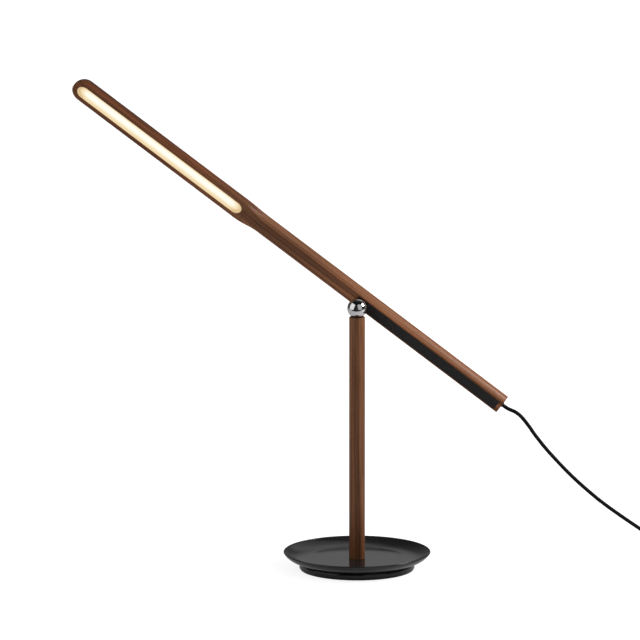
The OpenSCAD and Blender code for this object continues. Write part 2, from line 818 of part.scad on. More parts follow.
// The put-away length: flat spirals in and out, each layer a step above the one before
function coil_radius(turn) =
  let (layer = min(floor(turn / layer_turns), coil_layers - 1), share = turn / layer_turns - layer)
  layer % 2 == 0 ? mix(coil_r, coil_in_r, share) : mix(coil_in_r, coil_r, share);
function climb(turn, layer) = layer == 0 ? 0
  : smooth(2 * (turn - layer * layer_turns) + 0.5) + climb(turn, layer - 1);
function coil_point(turn) =
  let (r = coil_radius(turn), a = 360 * turn - 90)
  [coil_at[0] + r * cos(a), coil_at[1] + r * sin(a), coil_z + coil_pitch * climb(turn, coil_layers - 1)];
coil_path = concat([cord_route[len(cord_route) - 1]],
  [for (i = [0 : coil_turns * coil_rings]) coil_point(i / coil_rings)], coil_tail);
least_gap = min([for (i = [0 : len(coil_path) - 1], j = [i + coil_rings / 2 : len(coil_path) - 1])
  norm(coil_path[i] - coil_path[j])]) - cord_d;
echo(coil_least_gap = least_gap, spring_least_gap = (spring_high - spring_low) / spring_turns - spring_wire);

module cord_coil() {
  color("#161617") tube(coil_path, cord_r, coil_sides, [0, 0, 1]);
}

module cord_tie() {
  inner = sqrt(pow(coil_in_r - cord_r, 2) - pow(tie_w / 2, 2)) - hole_clear;
  outer = coil_r + cord_r + hole_clear;
  low = coil_z - cord_r - seat_clear;
  high = coil_z + coil_pitch * (coil_layers - 1) + cord_r + seat_clear;
  color("#2b2b2e") translate([coil_at[0], coil_at[1] + tie_w / 2, 0]) rotate([90, 0, 0])
    linear_extrude(tie_w) difference() {
      translate([inner - tie_t, low - tie_t]) square([outer - inner + 2 * tie_t, high - low + 2 * tie_t]);
      translate([inner, low]) square([outer - inner, high - low]);
    }
}

module plug_relief() {
  color("#1d1d1f") translate(plug_at) rotate([0, 90, 0])
    cylinder(d1 = relief_d, d2 = cord_d + 2 * seat_clear, h = relief_len);
}

module plug_body() {
  color("#1b1b1d") translate(plug_at - [plug_len, 0, 0]) rotate([90, 0, 90])
    linear_extrude(plug_len) polygon(round_outline(plug_w, plug_h, plug_round));
}

module plug_blades() {
  color("#c8b070") for (side = [-1, 1])
    translate(plug_at + [-plug_len - blade_len, side * blade_pitch / 2 - blade_t / 2, -blade_w / 2])
      cube([blade_len, blade_t, blade_w]);
}

base_dish();
base_weight();
base_foot();
base_pad();
base_bolt();
base_washer();
pole();
pole_insert();
swivel_bush();
swivel_cup();
cup_magnet();
ball();
arm();
rear_strip();
strip_screws();
arm_magnet();
led_channel();
led_board();
led_chips();
led_diffuser();
led_wire_red();
led_wire_black();
driver_sheet();
driver_board();
driver_parts();
button_switch();
button();
button_spring();
balance_weight();
supply_lead();
cord_gland();
cord_run();
cord_coil();
cord_tie();
plug_relief();
plug_body();
plug_blades();
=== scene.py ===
"""Looks of a desk lamp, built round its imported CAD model. Sizes in the tables are millimetres."""
import json
import math

import bmesh
import bpy
from mathutils import Matrix, Vector


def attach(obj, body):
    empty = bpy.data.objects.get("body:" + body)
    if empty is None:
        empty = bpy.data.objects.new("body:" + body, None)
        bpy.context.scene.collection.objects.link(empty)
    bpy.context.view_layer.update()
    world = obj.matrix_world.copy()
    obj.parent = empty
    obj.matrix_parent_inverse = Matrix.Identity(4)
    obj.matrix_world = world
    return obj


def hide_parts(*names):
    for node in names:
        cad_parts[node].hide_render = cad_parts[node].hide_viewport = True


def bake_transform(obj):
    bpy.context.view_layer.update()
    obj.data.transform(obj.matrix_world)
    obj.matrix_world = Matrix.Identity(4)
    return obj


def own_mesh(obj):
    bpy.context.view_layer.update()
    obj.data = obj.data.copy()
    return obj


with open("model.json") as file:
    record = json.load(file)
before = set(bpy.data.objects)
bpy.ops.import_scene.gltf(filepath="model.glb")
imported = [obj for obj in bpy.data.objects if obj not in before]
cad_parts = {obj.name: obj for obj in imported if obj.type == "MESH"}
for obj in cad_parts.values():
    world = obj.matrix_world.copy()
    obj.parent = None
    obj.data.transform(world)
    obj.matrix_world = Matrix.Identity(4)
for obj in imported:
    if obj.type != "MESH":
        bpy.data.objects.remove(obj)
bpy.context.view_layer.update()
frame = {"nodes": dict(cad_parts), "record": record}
scene = bpy.context.scene
scene.view_settings.view_transform = "Standard"
MM = 0.001

# Base and pole, with the CAD source's sizes
DISH_R, DISH_TOP, DISH_RIM = 89.0, 21.3, 0.9
DISH_FLOOR_R, DISH_FLOOR_Z, DISH_UNDER_Z = 59.0, 12.5, 10.5
SKIRT_R, SKIRT_IN_R, SKIRT_Z = 70.0, 64.0, 8.3
FOOT_R, FOOT_NECK_R, FOOT_LOW, FOOT_HIGH = 69.75, 67.25, 1.2, 7.5
BOLT_R, RECESS_R, RECESS_Z = 4.3, 11.3, 4.7
POLE_R, INSERT_R, INSERT_TOP, BUSH_R, BUSH_LOW = 9.6, 6.05, 40.0, 7.65, 293.8

# Ball, then the arm in its own frame: X runs along it from the ball, Z stands square to its flat side
BALL_Z, BALL_R, BALL_RISE, BALL_SEAT_R = 321.0, 12.0, 10.7, 12.2
ARM_TILT, ARM_ROLL = 36.5, 60.0
ARM_R, ARM_FLAT, AXIS_Z, FACE_Z = 11.85, 7.5, 18.7, 11.2
HEAD_R, HEAD_FLAT, HEAD_DROP, TIP_X, REAR_X = 15.0, 6.4, 3.2, -420.0, 210.2
NECK_START, NECK_END = -183.0, -152.0
WINDOW_X, WINDOW_LEN, WINDOW_W = -305.3, 246.0, 17.8
PANEL_RIM_Z, PANEL_FACE_Z, PANEL_BACK_Z, POCKET_Z = 12.6, 14.8, 16.3, 21.3
STRIP_FRONT, STRIP_END, STRIP_TOP, STRIP_HALF, STRIP_GAP = -7.5, 205.2, 13.2, 7.5, 0.3
SCREW_SPOTS = [(x, y) for x in (15.25, 201.2) for y in (-5.1, 5.1)]
HOUSING_START, HOUSING_END, HOUSING_HALF, HOUSING_TOP = 24.0, 197.2, 6.5, 24.2
WIRE_START, WIRE_END, WIRE_HALF, WIRE_LOW, WIRE_TOP = -14.0, 28.0, 2.5, 17.2, 22.6
MAGNET_HOLE_R, MAGNET_HOLE_TOP = 6.6, 18.2
BUTTON_X, BUTTON_HOLE_R, BUTTON_HOLE_TOP, BUTTON_TRAVEL = 76.0, 4.2, 42.0, 0.8
SPRING_R, SPRING_WIRE_R, SPRING_TURNS = 3.3, 0.3, 3
CORD_D, COLLAR_LEN, COLLAR_R, GLAND_R, GLAND_HOLE_R = 4.7, 1.0, 3.2, 3.5, 3.6
ARM_PLACE = (
    Matrix.Translation((0, 0, BALL_Z * MM))
    @ Matrix.Rotation(math.radians(ARM_TILT), 4, "Y")
    @ Matrix.Rotation(math.radians(-ARM_ROLL), 4, "X")
)
# Edges that meet at more than this many degrees stay sharp
SHARP = 38.0


# Camera, at the photograph's viewing angle
def make_camera():
    azimuth, elevation, distance = math.radians(7.0), math.radians(11.6), 20.0
    back = Vector((
        math.sin(azimuth) * math.cos(elevation),
        -math.cos(azimuth) * math.cos(elevation),
        math.sin(elevation),
    ))
    right = Vector((math.cos(azimuth), math.sin(azimuth), 0))
    up = back.cross(right)
    data = bpy.data.cameras.new("camera")
    picture_px, mm_per_px = 640, 1.206
    data.sensor_width, data.clip_end = 36.0, 60.0
    data.lens = data.sensor_width * distance / MM / (mm_per_px * picture_px)
    camera = bpy.data.objects.new("camera", data)
    scene.collection.objects.link(camera)
    place = Matrix((right, up, back)).transposed().to_4x4()
    ball_from_axis = (0.04474, 0.01405)
    place.translation = (
        Vector((0, 0, BALL_Z * MM))
        - right * ball_from_axis[0] - up * ball_from_axis[1] + back * distance
    )
    camera.matrix_world = place
    scene.camera = camera


make_camera()


# Shader helpers
def new_material(name):
    material = bpy.data.materials.new(name)
    material.use_nodes = True
    tree = material.node_tree
    return material, tree, tree.nodes["Principled BSDF"]


def add(tree, kind, **values):
    node = tree.nodes.new(kind)
    for key, value in values.items():
        setattr(node, key, value)
    return node


def math_node(tree, operation, a, b=None):
    node = add(tree, "ShaderNodeMath", operation=operation)
    for socket, value in zip(node.inputs, (a, b)):
        if value is None:
            continue
        if isinstance(value, (int, float)):
            socket.default_value = value
        else:
            tree.links.new(value, socket)
    return node.outputs[0]


def ramp(tree, factor, stops):
    node = add(tree, "ShaderNodeValToRGB")
    elements = node.color_ramp.elements
    while len(elements) < len(stops):
        elements.new(0.5)
    for element, (place, colour) in zip(elements, stops):
        element.position = place
        element.color = (*colour, 1.0)
    tree.links.new(factor, node.inputs["Fac"])
    return node.outputs["Color"]


def grey(value):
    return (value, value, value)


def faded(tree, value, *limits):
    """A smooth step of value; limits are from_low, from_high, to_low and to_high."""
    node = add(tree, "ShaderNodeMapRange", interpolation_type="SMOOTHSTEP")
    for socket, limit in zip(node.inputs[1:5], limits):
        socket.default_value = limit
    tree.links.new(value, node.inputs[0])
    return node.outputs[0]


def stretched_noise(tree, coords, scale, detail=4.0, rough=0.55, warp=0.0, shift=0.0):
    mapping = add(tree, "ShaderNodeMapping")
    mapping.inputs["Scale"].default_value = scale
    mapping.inputs["Location"].default_value = (shift, shift * 0.7, shift * 1.3)
    tree.links.new(coords, mapping.inputs["Vector"])
    noise = add(tree, "ShaderNodeTexNoise")
    noise.inputs["Scale"].default_value = 1.0
    noise.inputs["Detail"].default_value = detail
    noise.inputs["Roughness"].default_value = rough
    noise.inputs["Distortion"].default_value = warp
    tree.links.new(mapping.outputs["Vector"], noise.inputs["Vector"])
    return noise.outputs["Fac"]


def mixed(tree, kind, factor, a, b):
    node = add(tree, "ShaderNodeMix", data_type="RGBA", blend_type=kind)
    node.inputs[0].default_value = factor
    tree.links.new(a, node.inputs[6])
    tree.links.new(b, node.inputs[7])
    return node.outputs[2]


def bump(tree, shader, height, strength, distance):
    node = add(tree, "ShaderNodeBump")
    node.inputs["Strength"].default_value = strength
    node.inputs["Distance"].default_value = distance
    tree.links.new(height, node.inputs["Height"])
    tree.links.new(node.outputs["Normal"], shader.inputs["Normal"])


def object_axes(tree):
    coords = add(tree, "ShaderNodeTexCoord").outputs["Object"]
    axes = add(tree, "ShaderNodeSeparateXYZ")
    tree.links.new(coords, axes.inputs[0])
    return coords, axes.outputs


def walnut(name, along, shift, span, painted_light_stops):
    """Oiled walnut with its grain along one object axis, and painted light and shade that darken and lighten
    it over a span of its X axis.
    """
    material, tree, shader = new_material(name)
    coords, axes = object_axes(tree)

    def grain(length, width, **more):
        scale = [1 / (width * MM)] * 3
        scale[along] = 1 / (length * MM)
        return stretched_noise(tree, coords, scale, shift=shift, **more)

    bands = grain(420, 9, detail=3.0, warp=0.6)
    streaks = grain(150, 2.6, detail=4.0, warp=0.3)
    fibres = grain(26, 0.7, detail=3.0)
    pores = grain(7, 0.42, detail=1.0)
    colour = ramp(tree, bands, [
        (0.30, (0.100, 0.038, 0.016)), (0.44, (0.200, 0.080, 0.035)),
        (0.56, (0.310, 0.130, 0.060)), (0.72, (0.430, 0.195, 0.098)),
    ])
    streak_tint = ramp(tree, streaks, [
        (0.28, (0.50, 0.45, 0.40)), (0.45, (0.92, 0.90, 0.88)), (0.70, (1.20, 1.15, 1.08)),
    ])
    fibre_tint = ramp(tree, fibres, [(0.3, grey(0.80)), (0.7, grey(1.12))])
    pore_tint = ramp(tree, pores, [(0.30, grey(0.0)), (0.36, grey(1.0))])
    # Painted light and shade: the colour is darkened and lightened along the X axis by the given stops,
    # wandering a little with the bands.
    from_start = math_node(tree, "SUBTRACT", axes[0], span[0] * MM)
    place = math_node(tree, "DIVIDE", from_start, (span[1] - span[0]) * MM)
    wander = math_node(tree, "MULTIPLY", math_node(tree, "SUBTRACT", bands, 0.5), 0.3)
    painted_light_tint = ramp(tree, math_node(tree, "ADD", place, wander), painted_light_stops)
    for tint, share in ((streak_tint, 1.0), (fibre_tint, 1.0), (pore_tint, 0.45), (painted_light_tint, 1.0)):
        colour = mixed(tree, "MULTIPLY", share, colour, tint)
    tree.links.new(colour, shader.inputs["Base Color"])
    rough = ramp(tree, fibres, [(0.3, grey(0.36)), (0.7, grey(0.50))])
    tree.links.new(rough, shader.inputs["Roughness"])
    shader.inputs["Specular IOR Level"].default_value = 0.2
    bump(tree, shader, math_node(tree, "MULTIPLY", fibres, pore_tint), 0.09, 0.0001)
    return material


def surface(name, colour, rough, metal=0.0, scale=300.0, spread=0.12, relief=0.06, depth=0.0001,
            stretch=(1, 1, 1), level=0.5):
    """A fine-grained finish: colour, gloss and relief all vary a little with the same grain."""
    material, tree, shader = new_material(name)
    coords = add(tree, "ShaderNodeTexCoord").outputs["Object"]
    broader, rough_spread = 14, 0.12
    fine = stretched_noise(tree, coords, [scale * s for s in stretch], detail=3.0)
    broad = stretched_noise(tree, coords, [scale * s / broader for s in stretch], detail=2.0, shift=3.1)
    blend = math_node(tree, "MULTIPLY", math_node(tree, "ADD", fine, broad), 0.5)
    low, high = (tuple(c * k for c in colour) for k in (1 - spread, 1 + spread))
    tree.links.new(ramp(tree, blend, [(0.35, low), (0.65, high)]), shader.inputs["Base Color"])
    low, high = (grey(min(1.0, rough * k)) for k in (1 - rough_spread, 1 + rough_spread))
    tree.links.new(ramp(tree, blend, [(0.35, low), (0.65, high)]), shader.inputs["Roughness"])
    shader.inputs["Metallic"].default_value = metal
    shader.inputs["Specular IOR Level"].default_value = level
    bump(tree, shader, fine, relief, depth)
    return material


def lit_panel(name):
    """The glowing diffuser: brightest along the middle, warm and dimmer at its rim and ends."""
    material, tree, shader = new_material(name)
    coords, axes = object_axes(tree)
    end_zone, end_weight, cloud_weight = 17.0, 0.62, 0.06
    along = math_node(tree, "ABSOLUTE", math_node(tree, "SUBTRACT", axes[0], WINDOW_X * MM))
    past = math_node(tree, "SUBTRACT", along, (WINDOW_LEN / 2 - end_zone) * MM)
    past = math_node(tree, "MULTIPLY", math_node(tree, "MAXIMUM", past, 0.0), end_weight)
    squares = [math_node(tree, "POWER", value, 2.0) for value in (past, axes[1])]
    across = math_node(tree, "SQRT", math_node(tree, "ADD", *squares))
    share = math_node(tree, "DIVIDE", across, WINDOW_W / 2 * MM)
    cloud = stretched_noise(tree, coords, (60, 200, 200), detail=2.0)
    cloud = math_node(tree, "MULTIPLY", math_node(tree, "SUBTRACT", cloud, 0.5), cloud_weight)
    glow = ramp(tree, math_node(tree, "ADD", share, cloud), [
        (0.0, (0.95, 0.95, 0.90)), (0.36, (0.94, 0.92, 0.78)),
        (0.66, (0.88, 0.75, 0.52)), (0.90, (0.78, 0.61, 0.35)), (1.0, (0.64, 0.47, 0.25)),
    ])
    shader.inputs["Base Color"].default_value = (0.12, 0.10, 0.075, 1)
    shader.inputs["Roughness"].default_value = 0.5
    shader.inputs["Specular IOR Level"].default_value = 0.2
    tree.links.new(glow, shader.inputs["Emission Color"])
    shader.inputs["Emission Strength"].default_value = 1.0
    return material


# Materials, and the record's slots that take them
# Painted light and shade along the arm: darker over the head, lighter towards the rear end, where the key
# lamp is nearer.
WOOD_ARM = walnut("walnut_arm", 0, 1.7, (-435, 210), [
    (0.0, (0.64, 0.53, 0.44)), (0.12, (0.66, 0.54, 0.45)), (0.28, (0.94, 0.78, 0.68)),
    (0.40, grey(0.82)), (0.52, grey(0.85)), (0.61, grey(1.22)),
    (0.75, grey(1.50)), (0.90, grey(1.20)), (1.0, grey(1.10)),
])
# Painted shade on the pole: darker down the middle of its width, lighter towards its left and right edges.
WOOD_POLE = walnut("walnut_pole", 2, 5.2, (-POLE_R, POLE_R), [
    (0.0, grey(0.9)), (0.22, grey(0.95)), (0.5, grey(0.48)),
    (0.62, grey(0.5)), (0.82, grey(0.98)), (1.0, grey(0.9)),
])
COAT = surface("charcoal_coat", (0.014, 0.0138, 0.0142), 0.14,
               scale=1500.0, spread=0.10, relief=0.008, level=0.35)
CHROME = surface("polished_chrome", (0.66, 0.66, 0.675), 0.035,
                 metal=1.0, scale=120.0, spread=0.02, relief=0.004)
STRIP = surface("black_strip", (0.0175, 0.017, 0.017), 0.50,
                scale=900.0, spread=0.18, relief=0.08, stretch=(0.15, 1, 1), level=0.25)
PANEL = lit_panel("lit_panel")
RUBBER = surface("cord_rubber", (0.0035, 0.0035, 0.0038), 0.55,
                 scale=700.0, spread=0.15, relief=0.05, level=0.12)
PLUG = surface("plug_plastic", (0.016, 0.016, 0.018), 0.48, scale=1600.0, spread=0.12, relief=0.12)
FINISH = {
    "ballast": surface("raw_casting", (0.10, 0.10, 0.105), 0.6,
                       metal=0.6, scale=500.0, spread=0.25, relief=0.3),
    "pad": surface("felt", (0.028, 0.028, 0.030), 0.95, scale=2200.0, spread=0.45, relief=0.6, level=0.1),
    "steel": surface("zinc_steel", (0.55, 0.55, 0.56), 0.32, metal=1.0, scale=600.0, stretch=(0.2, 1, 1)),
    "brass": surface("turned_brass", (0.72, 0.50, 0.20), 0.28, metal=1.0, scale=900.0, stretch=(1, 1, 6)),
    "black_metal": surface("black_metal", (0.022, 0.022, 0.024), 0.38, metal=0.3, scale=900.0),
    "magnet": surface("nickel", (0.62, 0.61, 0.59), 0.22, metal=1.0, scale=400.0),
    "heat_sink": surface("extruded_aluminium", (0.70, 0.71, 0.72), 0.35,
                         metal=1.0, scale=900.0, stretch=(0.05, 1, 1)),
    "board_white": surface("white_mask", (0.80, 0.80, 0.77), 0.45, scale=500.0, spread=0.05),
    "led": surface("phosphor", (0.90, 0.72, 0.26), 0.5, scale=900.0, spread=0.08),
    "wire_red": surface("red_insulation", (0.45, 0.03, 0.02), 0.42, scale=600.0),
    "wire_black": surface("black_insulation", (0.018, 0.018, 0.018), 0.42, scale=600.0),
    "sheet": surface("insulating_paper", (0.68, 0.62, 0.46), 0.75, scale=800.0, spread=0.2, relief=0.25),
    "board_green": surface("green_mask", (0.015, 0.12, 0.05), 0.35, scale=500.0, spread=0.2),
    "components": surface("moulded_parts", (0.035, 0.035, 0.038), 0.5, scale=900.0),
    "cap": surface("satin_aluminium", (0.60, 0.60, 0.62), 0.30, metal=1.0, scale=1200.0),
    "spring": surface("spring_wire", (0.60, 0.60, 0.61), 0.25, metal=1.0, scale=900.0),
    "blade": surface("stamped_brass", (0.70, 0.56, 0.30), 0.26,
                     metal=1.0, scale=700.0, stretch=(0.3, 1, 1)),
    "charcoal_coat": COAT, "walnut": WOOD_ARM, "chrome": CHROME, "strip": STRIP, "diffuser": PANEL,
    "cord": RUBBER, "plug": PLUG,
}


# Shape helpers: points in millimetres, meshes in metres
def spread_out(count):
    return [k / count for k in range(count + 1)]


def turns(count):
    return [2 * math.pi * k / count for k in range(count)]


def mix(a, b, t):
    return a + (b - a) * t


def eased(t):
    t = max(0.0, min(1.0, t))
    return t * t * (3 - 2 * t)


def bend(a, b, c, t):
    a, b, c = Vector(a), Vector(b), Vector(c)
    return a.lerp(b, t).lerp(b.lerp(c, t), t)


def length_of(path):
    return sum((b - a).length for a, b in zip(path, path[1:]))


def shade(obj, sharp):
    obj.data.shade_smooth()
    obj.data.set_sharp_from_angle(angle=math.radians(sharp))


def add_piece(name, bm, material, body, stands_for, place=None, sharp=SHARP):
    """A finished piece, attached to its body if one is given; one with no body is left unattached here, and
    the arm's pieces are cut and attached after that.
    """
    bmesh.ops.remove_doubles(bm, verts=bm.verts, dist=1e-6)
    bmesh.ops.recalc_face_normals(bm, faces=bm.faces)
    mesh = bpy.data.meshes.new(name)
    bm.to_mesh(mesh)
    bm.free()
    obj = bpy.data.objects.new(name, mesh)
    scene.collection.objects.link(obj)
    if place is not None:
        obj.matrix_world = place
    mesh.materials.append(material)
    shade(obj, sharp)
    if body:
        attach(obj, body)
    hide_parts(stands_for)
    return obj


def loft(rings, start=True, end=True):
    """Joins equal rings of points in order, with flat faces at the chosen ends."""
    bm = bmesh.new()
    made = [[bm.verts.new(Vector(p) * MM) for p in ring] for ring in rings]
    for low, high in zip(made, made[1:]):
        for k in range(len(low)):
            n = (k + 1) % len(low)
            bm.faces.new((low[k], low[n], high[n], high[k]))
    if start:
        bm.faces.new(made[0])
    if end:
        bm.faces.new(made[-1])
    return bm


def lathe(profile, segments=144, around="Z", at=(0, 0, 0)):
    """A closed solid of revolution from an outline of (radius, height) pairs."""
    bm = bmesh.new()
    rings = []
    for r, h in profile:
        points = [(r * math.cos(a), r * math.sin(a), h) for a in (turns(segments) if r > 0 else [0.0])]
        if around == "X":
            points = [(z, x, y) for x, y, z in points]
        rings.append([bm.verts.new((Vector(p) + Vector(at)) * MM) for p in points])
    for low, high in zip(rings, rings[1:] + rings[:1]):
        for k in range(segments):
            n = (k + 1) % segments
            corners = [low[k % len(low)], low[n % len(low)], high[n % len(high)], high[k % len(high)]]
            corners = list(dict.fromkeys(corners))
            if len(corners) > 2:
                bm.faces.new(corners)
    return bm


def rounded(outline, radius, steps=4):
    """The closed outline with each corner eased."""
    most = 0.45
    made = []
    for i, corner in enumerate(outline):
        neighbours = outline[i - 1], corner, outline[(i + 1) % len(outline)]
        before, here, after = (Vector(p) for p in neighbours)
        reach = min(radius, (before - here).length * most, (after - here).length * most)
        start = here + (before - here).normalized() * reach
        end = here + (after - here).normalized() * reach
        made += [tuple(bend(start, here, end, t)) for t in spread_out(steps)]
    return made


def slot_outline(length, width, steps=20):
    """A straight slot with round ends, centred."""
    made = []
    for side, first in ((1, -90), (-1, 90)):
        middle = side * (length - width) / 2
        for t in spread_out(steps):
            a = math.radians(first + 180 * t)
            made.append((middle + width / 2 * math.cos(a), width / 2 * math.sin(a)))
    return made


def box(low, high):
    bm = bmesh.new()
    bmesh.ops.create_cube(bm, size=1.0)
    for v in bm.verts:
        v.co = [mix(a, b, c + 0.5) * MM for a, b, c in zip(low, high, v.co)]
    return bm


def prism(outline, low, high):
    return loft([[(x, y, z) for x, y in outline] for z in (low, high)])


def post(x, y, r, low, high, segments=48):
    return prism([(x + r * math.cos(a), y + r * math.sin(a)) for a in turns(segments)], low, high)


def cut(obj, cutters):
    """Cuts each of the given meshes, drawn in obj's own frame, out of obj."""
    tools = []
    for number, bm in enumerate(cutters):
        bmesh.ops.recalc_face_normals(bm, faces=bm.faces)
        mesh = bpy.data.meshes.new(f"cut_{number}")
        bm.to_mesh(mesh)
        bm.free()
        tool = bpy.data.objects.new(f"cut_{number}", mesh)
        scene.collection.objects.link(tool)
        tool.matrix_world = obj.matrix_world
        modifier = obj.modifiers.new(f"cut_{number}", "BOOLEAN")
        modifier.operation, modifier.solver, modifier.object = "DIFFERENCE", "EXACT", tool
        tools.append(tool)
    bpy.context.view_layer.update()
    done = bpy.data.meshes.new_from_object(obj.evaluated_get(bpy.context.evaluated_depsgraph_get()))
    obj.modifiers.clear()
    obj.data = done
    for tool in tools:
        bpy.data.objects.remove(tool)
    shade(obj, SHARP)


# Cord: the CAD route, split where it passes from body to body
CORD_ROUTE = [
    (175.4, 16.2, 202.8), (177.3, 16.2, 201.4), (180.1, 16.2, 199.5), (183.2, 16.1, 197.9),
    (186.6, 16.1, 196.5), (189.9, 16.1, 195.1), (193.3, 16, 193), (196.7, 16, 190.2),
    (200.4, 15.9, 186.3), (204.5, 15.8, 181.2), (209.4, 15.7, 174.6), (214, 15.5, 168),
    (227, 14.5, 152), (240.5, 13.5, 137.5), (254, 12, 124), (267.5, 10.5, 111.7),
    (281, 9, 100.5), (294, 8, 90.2), (307.5, 7, 80.6), (321, 6, 71.6), (334, 5, 63.2),
    (347, 4, 55), (362, 3, 45.5), (379, 2, 35), (396, 1, 24.8), (413, 0.5, 15.8),
    (429, 0, 8.9), (443, 0, 4.7), (452, 0, 3.3), (456, 0, 3.1),
]
# Where along the run one body hands over to the next
CORD_JOINS = (35.0, 175.0)
# Each span's name, its two bodies, and the slope in degrees down which it turns from one to the other
CORD_SPANS = [
    ("cord_upper", "arm", "ball", ARM_TILT),
    ("cord_middle", "ball", "swivel", 49.0),
    ("cord_lower", "swivel", "stand", 90.0),
]
COIL_AT, COIL_R, COIL_Z, COIL_PITCH, COIL_LAYERS, COIL_TURNS = (460, 28), 28.0, 3.1, 5.4, 4, 11.5
COIL_TAIL = [(456, 56, 19.3), (452, 56, 18.8), (447, 56, 16.8), (442.5, 56, 15), (436, 56, 15)]
LAYER_TURNS = COIL_TURNS / COIL_LAYERS
COIL_IN_R = COIL_R - COIL_PITCH * LAYER_TURNS
RELIEF_LEN, RELIEF_R, RELIEF_END_R = 16.0, 4.0, 2.45


def smooth_path(points, steps):
    points = [Vector(p) for p in points]
    ends = [points[0]] + points + [points[-1]]
    made = []
    for a, b, c, d in zip(ends, ends[1:], ends[2:], ends[3:]):
        for k in range(steps):
            t = k / steps
            made.append(b + 0.5 * t * (c - a + t * (2 * a - 5 * b + 4 * c - d + t * (3 * (b - c) + d - a))))
    return made + [points[-1]]


def coil_point(turn):
    layer = min(int(turn / LAYER_TURNS), COIL_LAYERS - 1)
    share = turn / LAYER_TURNS - layer
    r = mix(COIL_R, COIL_IN_R, share if layer % 2 == 0 else 1 - share)
    climb = sum(eased(2 * (turn - n * LAYER_TURNS) + 0.5) for n in range(1, COIL_LAYERS))
    a = math.radians(360 * turn - 90)
    return Vector((
        COIL_AT[0] + r * math.cos(a),
        COIL_AT[1] + r * math.sin(a),
        COIL_Z + COIL_PITCH * climb,
    ))


def tube_rings(path, radius, sides, up):
    rings = []
    for i, here in enumerate(path):
        heading = (path[min(i + 1, len(path) - 1)] - path[max(i - 1, 0)]).normalized()
        side = up.cross(heading).normalized()
        over = heading.cross(side)
        rings.append([here + radius * (math.cos(a) * side + math.sin(a) * over) for a in turns(sides)])
    return rings


def cord_piece(name, path, rings, body, stands_for):
    obj = add_piece(name, loft(rings), RUBBER, body, stands_for, sharp=60.0)
    return obj, [tuple(p * MM) for p in path]


def cord_run():
    """The free stretch from inside the gland to the floor, in route order."""
    run = smooth_path(CORD_ROUTE, 6)
    inside = 2.4
    return [run[0] - (run[1] - run[0]).normalized() * inside] + run


def make_free_cord(run):
    rings = tube_rings(run, CORD_D / 2, 14, Vector((0, 1, 0)))
    along = [length_of(run[: i + 1]) for i in range(len(run))]
    joins = [next(i for i, s in enumerate(along) if s > at) for at in CORD_JOINS]
    joins = [0] + joins + [len(run) - 1]
    for (name, first, second, slope), a, b in zip(CORD_SPANS, joins, joins[1:]):
        path = run[a : b + 1]
        obj, line = cord_piece(name, path, rings[a : b + 1], None, "cord_run")
        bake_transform(obj)


def make_wound_cord(first):
    per_turn, into_relief = 36, Vector((-2, 0, 0))
    wound = [coil_point(i / per_turn) for i in range(int(COIL_TURNS * per_turn) + 1)]
    path = [first] + wound + smooth_path(COIL_TAIL, 4) + [Vector(COIL_TAIL[-1]) + into_relief]
    rings = tube_rings(path, CORD_D / 2, 12, Vector((0, 0, 1)))
    obj, line = cord_piece("cord_wound", path, rings, "stand", "cord_coil")
    ends = [make_tie(), make_relief(), make_plug(), frame["nodes"]["plug_blades"]]


def make_tie():
    half, band, edge, gap, rest, corner_r = 3.0, 0.6, 0.25, 0.3, 0.1, 2.5
    cord_r = CORD_D / 2
    inner = math.sqrt((COIL_IN_R - cord_r) ** 2 - half ** 2) - gap
    outer = COIL_R + cord_r + gap
    low = COIL_Z - cord_r - rest
    high = COIL_Z + COIL_PITCH * (COIL_LAYERS - 1) + cord_r + rest

    def loop(grow):
        near, far, under, over = inner - grow, outer + grow, low - grow, high + grow
        return rounded([(near, under), (far, under), (far, over), (near, over)], corner_r + grow, 6)

    rings = []
    for grow, y in ((0.0, -half), (band, edge - half), (band, half - edge), (0.0, half)):
        rings.append([(COIL_AT[0] + r, COIL_AT[1] + y, z) for r, z in loop(grow)])
    bm = loft(rings + rings[:1], start=False, end=False)
    return add_piece("tie_band", bm, PLUG, "stand", "cord_tie")


def make_relief():
    x, y, z = COIL_TAIL[-1]
    rib_start, rib_pitch, rib_count = 2.2, 2.3, 6
    notch = [(0.0, 0.0), (0.45, 0.2), (0.55, 1.0), (0.2, 1.2)]
    end_ease = [(0.0, 0.4), (0.3, 0.0)]
    outline = [(0.0, 0.0), (RELIEF_R, 0.0)]
    for k in range(rib_count):
        start = rib_start + k * rib_pitch
        r = mix(RELIEF_R, RELIEF_END_R, start / RELIEF_LEN)
        outline += [(r - depth, start + further) for depth, further in notch]
    outline += [(RELIEF_END_R - inset, RELIEF_LEN - short) for inset, short in end_ease]
    outline.append((0.0, RELIEF_LEN))
    bm = lathe(outline, 48, "X", (x - RELIEF_LEN, y, z))
    return add_piece("relief_ribs", bm, PLUG, "stand", "plug_relief")


def make_plug():
    x, y, z = COIL_TAIL[-1]
    length, wide, above_floor, corner_r = 36.0, 28.0, 0.05, 6.0
    tall = 2 * (z - above_floor)
    end_ease = [(0.0, 1.6), (0.5, 0.5), (1.6, 0.0)]
    groove = [(6.0, 0.0), (5.6, 0.3), (5.2, 0.3), (4.8, 0.0)]
    steps = end_ease + [(length - at, inset) for at, inset in groove + end_ease[::-1]]
    rings = []
    for at, inset in steps:
        w, h = wide / 2 - inset, tall / 2 - inset
        outline = rounded([(w, -h), (w, h), (-w, h), (-w, -h)], corner_r - inset, 8)
        rings.append([(x - RELIEF_LEN - at, y + a, z + b) for a, b in outline])
    return add_piece("plug_shell", loft(rings), PLUG, "stand", "plug_body")


run = cord_run()
make_free_cord(run)
make_wound_cord(run[-1])


